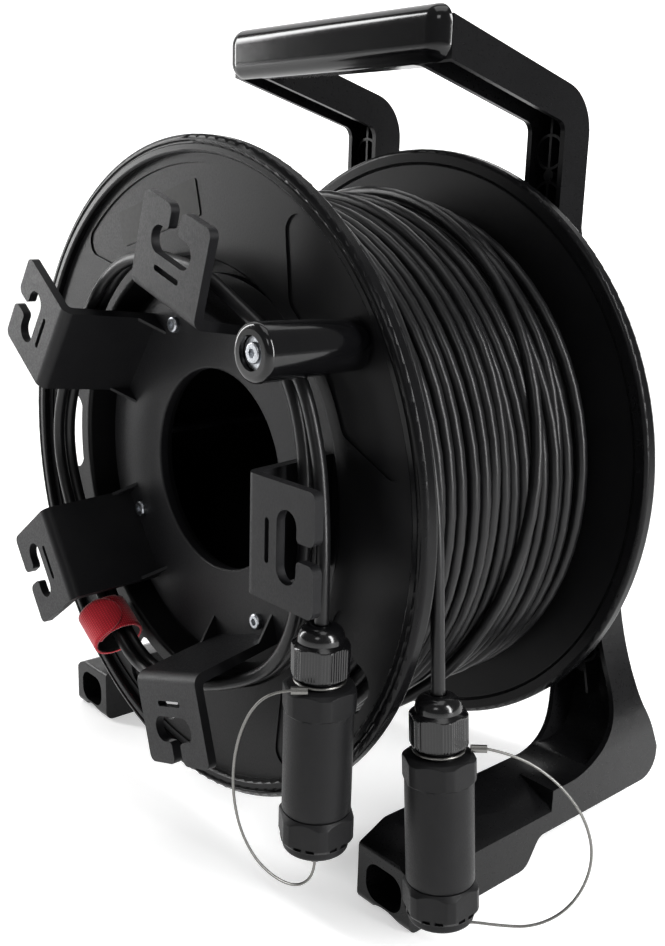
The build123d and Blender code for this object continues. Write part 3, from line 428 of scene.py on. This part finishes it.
def shellReach(angle, station):
    look = plugLook
    edge = min(0, min(station - look["neckTo"], look["bodyTo"] - station) - 0.8)
    if station > look["hexTo"]:
        return look["bodyRadius"] + edge * 0.6
    chamfer = min(12.9 + 1.6 * (station - look["neckTo"]), 14.25 + 0.9 * (look["hexTo"] - station))
    return min(flatReach(angle, look["hexFlats"]), look["hexCorner"], chamfer)


def capReach(angle, station):
    look = plugLook
    if station > look["capHexTo"]:
        rest = max(0, station - look["capTo"] + 1.6)
        return look["baseRadius"] - 1.6 + (1.6 ** 2 - min(rest, 1.6) ** 2) ** 0.5
    chamfer = min(13.9 + 0.9 * (station - look["capFrom"]), 14.1 + 0.8 * (look["capHexTo"] - station) + 0.3)
    reach = min(flatReach(angle, look["capFlats"]), look["capCorner"], chamfer)
    fromFlat = abs((angle % (pi / 3)) - pi / 6)
    if look["slotFrom"] <= station <= look["slotTo"] and radians(4) < fromFlat < radians(17):
        reach -= look["slotDeep"]
    return reach


def turnedBody(name, place, stations, reachOf, steps, material, body, nodes):
    shape = bmesh.new()
    bmesh.ops.create_circle(shape, segments=steps, radius=1)
    rim = list(shape.edges)
    for station, fixedReach in stations:
        if station != stations[0][0]:
            pushed = bmesh.ops.extrude_edge_only(shape, edges=rim)["geom"]
            rim = [part for part in pushed if isinstance(part, bmesh.types.BMEdge)]
        for corner in {corner for edge in rim for corner in edge.verts}:
            angle = atan2(corner.co.y, corner.co.x)
            reach = reachOf(angle, station) if fixedReach is None else fixedReach
            corner.co = (reach * cos(angle), reach * sin(angle), station)
    bmesh.ops.holes_fill(shape, edges=[edge for edge in shape.edges if edge.is_boundary], sides=0)
    bmesh.ops.recalc_face_normals(shape, faces=shape.faces)
    bmesh.ops.transform(shape, matrix=place @ Matrix.Scale(mm, 4), verts=shape.verts)
    return finishMesh(name, shape, material, body, nodes)


def spread(start, end, count):
    return [(start + (end - start) * k / count, None) for k in range(count + 1)]


def makePlug(side, top, axis, body, capBody):
    front = Vector((0, -1, 0))
    across = axis.cross(front)
    place = Matrix.Translation(top) @ Matrix((front, across, axis)).transposed().to_4x4()
    look = plugLook
    # stations crowd where the outline turns: chamfers, slots and rounded ends
    nutFrom, nutTo, neckTo = look["nutFrom"], look["nutTo"], look["neckTo"]
    glandStations = list(look["dome"]) + spread(nutFrom, nutFrom + 2.4, 8)
    glandStations += spread(nutFrom + 3, nutTo - 2.4, 6) + spread(nutTo - 2, nutTo, 6)
    glandStations += [(nutTo + 0.01, None), (neckTo + 0.2, 9)]
    hexTo, bodyTo = look["hexTo"], look["bodyTo"]
    shellStations = spread(neckTo, neckTo + 1.6, 8) + spread(neckTo + 2, hexTo - 1.6, 5)
    shellStations += spread(hexTo - 1.4, hexTo + 0.05, 6) + spread(hexTo + 1, bodyTo - 1, 8)
    shellStations += spread(bodyTo - 0.6, bodyTo, 3)
    capFrom, slotFrom, slotTo = look["capFrom"], look["slotFrom"], look["slotTo"]
    capStations = spread(capFrom, capFrom + 2.4, 8) + spread(capFrom + 3, slotFrom - 0.4, 4)
    capStations += [(slotFrom - 0.02, None), (slotFrom, None), (slotTo, None), (slotTo + 0.02, None)]
    capStations += [(look["capHexTo"], None), (look["capHexTo"] + 0.05, None)]
    capStations += spread(look["capTo"] - 2, look["capTo"], 8)
    turnedBody(side + "_nut", place, glandStations, glandReach, 240, glandNylon, body, [side + "_gland"])
    turnedBody(side + "_barrel", place, shellStations, shellReach, 144, plugNylon, body, [side + "_shell"])
    turnedBody(side + "_cover", place, capStations, capReach, 288, plugNylon, capBody, [side + "_cap"])


makePlug("stored", storedTop, Vector((0, 0, -1)), "drum", "stored_cap")
makePlug("running", runningTop, Vector((0.0873, 0, -0.9962)).normalized(), "stand", "running_cap")
print("plugs turned")
storedCable = makeCord("stored_end", storedRoute, cable["diameter"], cableJacket, "drum",
                       ["stored_cable"], sides=4, smooth=6)
runningCable = makeCord("running_end", runningRoute, cable["diameter"], cableJacket, "stand",
                        ["running_cable"], sides=4, smooth=6)

# the tethers are thin stranded wires from the ring round the gland to the cap's post
tetherRoutes = {
    "stored": (
        (1.6, -16.1, -23.3), (-3, -21.5, -24), (-8.6, -26.6, -30.8), (-13.2, -29.4, -43),
        (-16.3, -30.2, -58), (-17.2, -29.2, -74), (-15.8, -26.2, -89.5), (-12.2, -20.8, -103),
        (-7.4, -13.2, -112.5), (-3, -5.6, -116.5), (0, 0, -111.5), (0, 0, -104.3),
    ),
    "running": (
        (15.4, 13.7, -22.4), (20.9, 20.1, -24), (29.6, 29.4, -29.6), (38, 38.3, -40),
        (44.4, 44.9, -53.5), (47.2, 47.6, -69), (45.6, 44.9, -84), (40.6, 38.2, -95.5),
        (33, 28.5, -101.2), (24.6, 18.2, -100.4), (17.2, 9.7, -98.97), (12.1, 3.8, -98.97),
    ),
}
wire = {"diameter": 1.2, "lengths": {"stored": 0.129, "running": 0.145}}
for name, top, body in (("stored", storedTop, "drum"), ("running", runningTop, "stand")):
    points = [top + Vector(place) * mm for place in tetherRoutes[name]]
    tether = makeCord(name + "_wire", points, wire["diameter"], stainlessWire, body, [name + "_tether"],
                      sides=2, smooth=6)
print("cords laid")


# the strap round the stored turns: woven hook-and-loop tape, red outside and black hooks inside
strapLook = {
    "angle": -122, "radius": 107.6, "depth": -10.9, "reach": (10.8, 12.2), "width": 20, "thick": 1.4,
    "lap": 1.9, "turnFrom": 262, "turnTo": -186, "tongue": 11,
    "threadMm": 1.2,  # real threads are much finer; these are drawn coarse enough to show
    "colour": "#98101c", "paleColour": "#dc2438",
}


def wovenTape(name, look, length):
    # polyester webbing: crossing red threads with a soft fuzz at grazing angles
    material, tree, shader, place = newMaterial(name, {
        "Roughness": 0.72, "Specular IOR Level": 0.3, "Sheen Weight": 0.35, "Sheen Roughness": 0.4,
    })
    woven = addNode(tree, "ShaderNodeUVMap", {"uv_map": "weave"}).outputs["UV"]
    threads = (length / look["threadMm"], look["width"] / look["threadMm"], 1)
    grid = addNode(tree, "ShaderNodeVectorMath", {"operation": "MULTIPLY", 1: threads}, [(0, woven)])
    weft = addNode(tree, "ShaderNodeTexWave", {"bands_direction": "X", "Scale": 0.314, "Distortion": 0.2},
                   [("Vector", grid.outputs[0])])
    warp = addNode(tree, "ShaderNodeTexWave", {"bands_direction": "Y", "Scale": 0.314, "Distortion": 0.2},
                   [("Vector", grid.outputs[0])])
    both = addNode(tree, "ShaderNodeMath", {"operation": "MULTIPLY"},
                   [(0, weft.outputs["Fac"]), (1, warp.outputs["Fac"])])
    tone = addNode(tree, "ShaderNodeValToRGB", {}, [("Fac", both.outputs[0])])
    tone.color_ramp.elements[0].color = linear(look["colour"])
    tone.color_ramp.elements[1].color = linear(look["paleColour"])
    bump = addNode(tree, "ShaderNodeBump", {"Strength": 0.6, "Distance": 0.25 * mm},
                   [("Height", both.outputs[0])])
    tree.links.new(tone.outputs["Color"], shader.inputs["Base Color"])
    tree.links.new(bump.outputs["Normal"], shader.inputs["Normal"])
    return material


def makeStrap(look):
    turned = radians(look["angle"])
    outward = Vector((cos(turned), 0, sin(turned)))
    along = Vector((-sin(turned), 0, cos(turned)))
    centre = polar(look["angle"], look["radius"], look["depth"])
    wholeTurn = radians(look["turnFrom"] - look["turnTo"])
    length = wholeTurn * (sum(look["reach"]) / 2 + look["lap"] / 2)
    shape = bmesh.new()
    shape.loops.layers.uv.new("weave")
    bmesh.ops.create_grid(shape, x_segments=110, y_segments=10, size=0.5, calc_uvs=True)
    for point in shape.verts:
        share = point.co.x + 0.5
        turn = radians(look["turnFrom"]) - wholeTurn * share
        lift = look["lap"] * share * wholeTurn / (2 * pi)
        toEnd = (1 - share) * length
        narrow = (1 - (1 - min(toEnd, look["tongue"]) / look["tongue"]) ** 2) ** 0.5
        side = point.co.y * look["width"] * max(narrow, 0.03)
        point.co = centre + mm * (outward * (look["reach"][0] + lift) * cos(turn) + along * side)
        point.co.y += mm * (look["reach"][1] + lift) * sin(turn)
    shape.normal_update()
    # the red side has to face outwards
    if sum((face.calc_center_median() - centre).dot(face.normal) for face in shape.faces) < 0:
        bmesh.ops.reverse_faces(shape, faces=shape.faces)
    tape = wovenTape("wovenPolyesterTape", look, length)
    strap = finishMesh("strap_tape", shape, tape, "drum", ["cable_strap"])
    strap.data.materials.append(hookTape)
    thicken = strap.modifiers.new("thickness", "SOLIDIFY")
    thicken.thickness = look["thick"] * mm
    thicken.offset = -1
    thicken.material_offset = 1
    thicken.use_rim = True


makeStrap(strapLook)
print("strap wrapped")


def makePlate(name, corners, material):
    shape = bmesh.new()
    bmesh.ops.create_grid(shape, x_segments=1, y_segments=1, size=0.5)
    mesh = bpy.data.meshes.new(name)
    shape.to_mesh(mesh)
    shape.free()
    mesh.transform(corners)
    mesh.materials.append(material)
    piece = bpy.data.objects.new(name, mesh)
    bpy.context.scene.collection.objects.link(piece)


paleFloor = newMaterial("paleFloor", {
    "Base Color": linear("#f4f4f4"), "Roughness": 0.7, "Emission Color": (1, 1, 1, 1),
    "Emission Strength": 0.42,
})[0]
makePlate("floor", Matrix.Scale(12, 4), paleFloor)
paperRoll = newMaterial("paperRoll", {
    "Base Color": linear("#f8f8f8"), "Roughness": 0.8, "Emission Color": (1, 1, 1, 1),
    "Emission Strength": 1,
})[0]
rollTurn = Vector((0.7475, -0.6643, 0)).to_track_quat("Z", "Y").to_matrix().to_4x4()
makePlate("backdrop", Matrix.Translation((-3.4, 3.0, 2.5)) @ rollTurn @ Matrix.Scale(10, 4), paperRoll)


def softLight(name, place, target, size, watts):
    data = bpy.data.lights.new(name, "AREA")
    data.shape = "RECTANGLE"
    data.size, data.size_y = size
    data.energy = watts
    light = bpy.data.objects.new(name, data)
    bpy.context.scene.collection.objects.link(light)
    light.location = place
    light.rotation_mode = "QUATERNION"
    light.rotation_quaternion = (Vector(target) - Vector(place)).to_track_quat("-Z", "Y")


middle = (0, 0, 0.2)
softLight("leftStrip", (-1.35, -0.75, 0.75), middle, (0.26, 1.5), 20)
softLight("rightStrip", (1.5, 0.25, 0.8), middle, (0.3, 1.5), 36)
softLight("topPanel", (0.1, -0.1, 1.7), middle, (1.0, 1.0), 6)
softLight("frontPanel", (0.9, -1.5, 1.3), middle, (0.5, 0.5), 4)
world = bpy.data.worlds.new("studio")
bpy.context.scene.world = world
world.use_nodes = True
world.node_tree.nodes["Background"].inputs["Color"].default_value = (1, 1, 1, 1)
world.node_tree.nodes["Background"].inputs["Strength"].default_value = 0.2
bpy.context.scene.view_settings.view_transform = "Standard"
